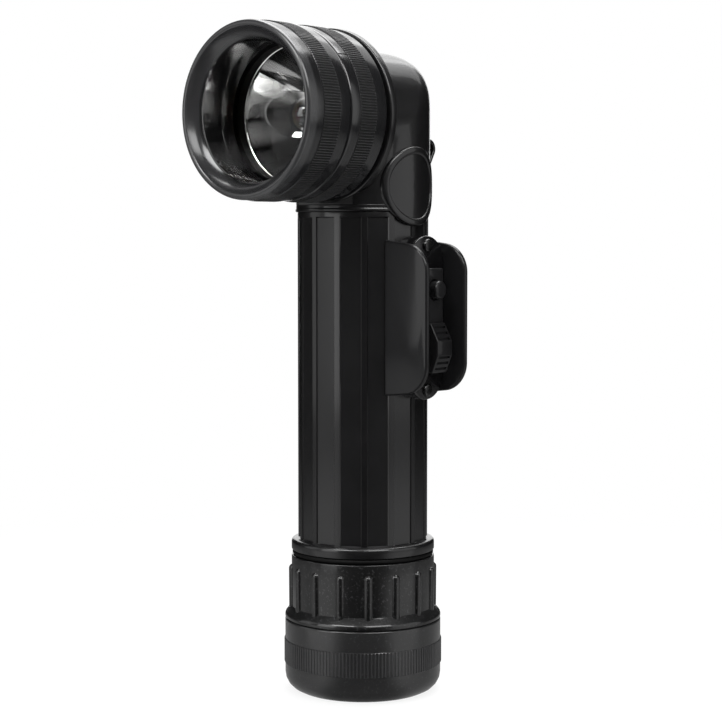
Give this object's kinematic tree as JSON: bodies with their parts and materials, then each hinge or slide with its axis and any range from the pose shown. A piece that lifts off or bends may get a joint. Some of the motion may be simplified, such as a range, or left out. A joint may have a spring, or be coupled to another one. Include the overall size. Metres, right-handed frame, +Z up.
{
  "type": "angle head flashlight",
  "caption": "Right-angle hand torch with a fluted barrel, screwed head rings, guarded slide switch with signal button, belt clip and a screwed base that stores filters and a bulb.",
  "frame": {"origin": "middle of the base cover's flat bottom, on the barrel's axis", "axes": "+Z up the barrel, the lamp looks along -Y, the switch is on the +X side"},
  "size_m": [0.0589, 0.0789, 0.2011],
  "materials": {
    "body_black": "polished moulded plastic",
    "head_black": "glossy moulded plastic",
    "cap_black": "satin moulded plastic",
    "rubber": "matte",
    "clip_steel": "black oxide spring steel",
    "spring_steel": "bright wire",
    "contact_brass": "plain sheet",
    "reflector_chrome": "mirror plated",
    "clear_glass": "clear",
    "bead_red": "fired bead and wire",
    "fibre": "pressed fibre",
    "cell_jacket": "plain printed can",
    "filter_red": "clear tinted plastic",
    "filter_blue": "clear tinted plastic",
    "filter_white": "milky plastic",
    "foam": "soft foam"
  },
  "bodies": {
    "torch_body": {"barrel": "body_black", "elbow_housing": "head_black", "switch_guard": "body_black", "guard_rivets": "clip_steel", "lower_contact_strip": "contact_brass", "upper_contact_strip": "contact_brass", "contact_insulator": "fibre", "centre_contact": "contact_brass", "battery_lower": "cell_jacket", "battery_upper": "cell_jacket", "belt_clip_base": "clip_steel", "clip_rivet": "clip_steel"},
    "clip_leg": {"belt_clip_leg": "clip_steel"},
    "slide": {"switch_slide": "body_black", "slide_contact": "contact_brass"},
    "button": {"signal_button": "body_black"},
    "lamp": {"reflector": "reflector_chrome", "bulb_glass": "clear_glass", "bulb_filament": "bead_red", "bulb_base": "contact_brass", "bulb_foot": "rubber", "bulb_retainer": "contact_brass", "lens": "clear_glass", "lens_gasket": "rubber"},
    "lens_ring": {"lens_ring": "head_black"},
    "ring_seal": {"filter_seal": "rubber"},
    "filter_ring": {"filter_ring": "head_black"},
    "neck_seal": {"cap_seal": "rubber"},
    "cap": {"battery_cap": "cap_black", "cap_contact": "contact_brass", "battery_spring": "spring_steel"},
    "spares": {"spare_filter_red": "filter_red", "spare_filter_blue": "filter_blue", "spare_filter_diffuser": "filter_white", "spare_bulb_cushion": "foam", "spare_bulb_glass": "clear_glass", "spare_bulb_base": "contact_brass"},
    "cover": {"base_cover": "cap_black"}
  },
  "joints": [
    {"name": "switch_travel", "type": "slide", "parent": "torch_body", "child": "slide", "axis": [0, 0, 1], "range_m": [0, 0.0045]},
    {"name": "button_press", "type": "slide", "parent": "slide", "child": "button", "axis": [-1, 0, 0], "range_m": [0, 0.0012], "stiffness_N_per_m": 150},
    {"name": "clip_flex", "type": "hinge", "parent": "torch_body", "child": "clip_leg", "pos_m": [0, 0.02371, 0.1695], "axis": [1, 0, 0], "range_deg": [0, 6], "stiffness_Nm_per_rad": 2},
    {"name": "lens_ring_travel", "type": "slide", "parent": "torch_body", "child": "lamp", "axis": [0, -1, 0], "range_m": [0, 0.008]},
    {"name": "lens_ring_turn", "type": "hinge", "parent": "lamp", "child": "lens_ring", "pos_m": [0, -0.02, 0.1752], "axis": [0, -1, 0], "range_deg": [0, 1440]},
    {"name": "filter_ring_travel", "type": "slide", "parent": "lens_ring", "child": "ring_seal", "axis": [0, -1, 0], "range_m": [0, 0.005]},
    {"name": "filter_ring_turn", "type": "hinge", "parent": "ring_seal", "child": "filter_ring", "pos_m": [0, -0.04, 0.1752], "axis": [0, -1, 0], "range_deg": [0, 900]},
    {"name": "cap_travel", "type": "slide", "parent": "torch_body", "child": "neck_seal", "axis": [0, 0, -1], "range_m": [0, 0.0105]},
    {"name": "cap_turn", "type": "hinge", "parent": "neck_seal", "child": "cap", "pos_m": [0, 0, 0.03], "axis": [0, 0, -1], "range_deg": [0, 1260]},
    {"name": "cover_travel", "type": "slide", "parent": "cap", "child": "spares", "axis": [0, 0, -1], "range_m": [0, 0.0075]},
    {"name": "cover_turn", "type": "hinge", "parent": "spares", "child": "cover", "pos_m": [0, 0, 0.01], "axis": [0, 0, -1], "range_deg": [0, 1080]}
  ],
  "couplings": [
    {"joint": "lens_ring_travel", "follows": "lens_ring_turn", "m_per_rad": 0.00031831},
    {"joint": "filter_ring_travel", "follows": "filter_ring_turn", "m_per_rad": 0.00031831},
    {"joint": "cap_travel", "follows": "cap_turn", "m_per_rad": 0.00047746},
    {"joint": "cover_travel", "follows": "cover_turn", "m_per_rad": 0.00039789}
  ]
}
